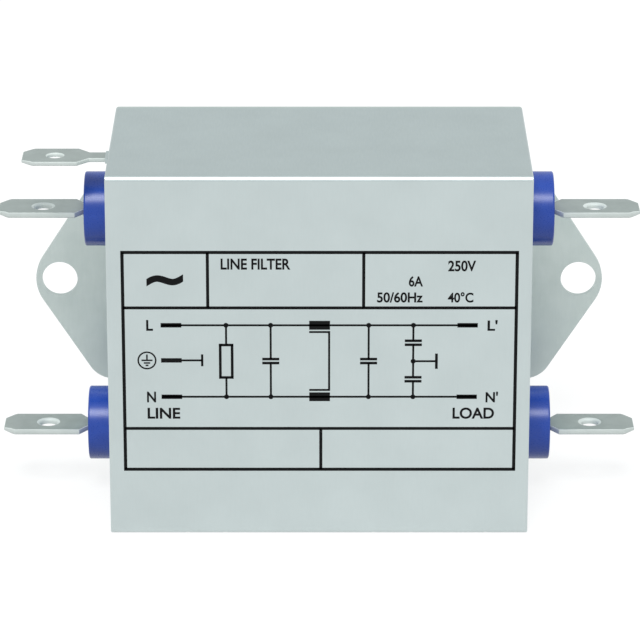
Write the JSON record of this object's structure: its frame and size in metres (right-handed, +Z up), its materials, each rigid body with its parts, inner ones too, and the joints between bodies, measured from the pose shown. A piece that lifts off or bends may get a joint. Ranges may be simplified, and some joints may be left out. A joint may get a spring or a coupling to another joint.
{
  "type": "emi line filter",
  "caption": "Sheet-metal mains line filter with flat blade terminals in round bushings on both sides, an earth tab and a rear fixing plate with ears.",
  "frame": {"origin": "middle of the footprint, on the surface that the filter stands on", "axes": "+X to the right of the printed face, +Y from the printed face to the base plate, +Z up"},
  "size_m": [0.0896, 0.033, 0.0522],
  "materials": {
    "tinned_sheet": "matt tinned steel sheet",
    "tinned_plate": "matt tinned steel plate",
    "tab_metal": "tin-plated, satin",
    "bushing_plastic": "blue moulded, semi-gloss",
    "copper": "drawn, tinned ends",
    "board_laminate": "paper laminate, satin",
    "insulating_paper": "pressed board, matt",
    "ferrite": "sintered, matt",
    "core_case_plastic": "black moulded",
    "enamelled_copper": "enamelled, glossy",
    "x_capacitor_plastic": "moulded box, satin",
    "y_capacitor_coating": "dipped coating",
    "resistor_body": "lacquered",
    "potting_compound": "cast compound"
  },
  "bodies": {
    "root": {"cover": "tinned_sheet", "base_plate": "tinned_plate", "earth_tab": "tab_metal", "bushing_line_l": "bushing_plastic", "bushing_line_n": "bushing_plastic", "bushing_load_l": "bushing_plastic", "bushing_load_n": "bushing_plastic", "terminal_line_l": "tab_metal", "terminal_line_n": "tab_metal", "terminal_load_l": "tab_metal", "terminal_load_n": "tab_metal", "link_line_l": "copper", "link_line_n": "copper", "link_load_l": "copper", "link_load_n": "copper", "wiring_board": "board_laminate", "liner": "insulating_paper", "choke_core": "ferrite", "choke_core_case": "core_case_plastic", "winding_l": "enamelled_copper", "winding_n": "enamelled_copper", "x_capacitor_line": "x_capacitor_plastic", "x_capacitor_load": "x_capacitor_plastic", "y_capacitor_l": "y_capacitor_coating", "y_capacitor_n": "y_capacitor_coating", "discharge_resistor": "resistor_body", "earth_wire": "copper", "potting": "potting_compound"}
  },
  "joints": []
}
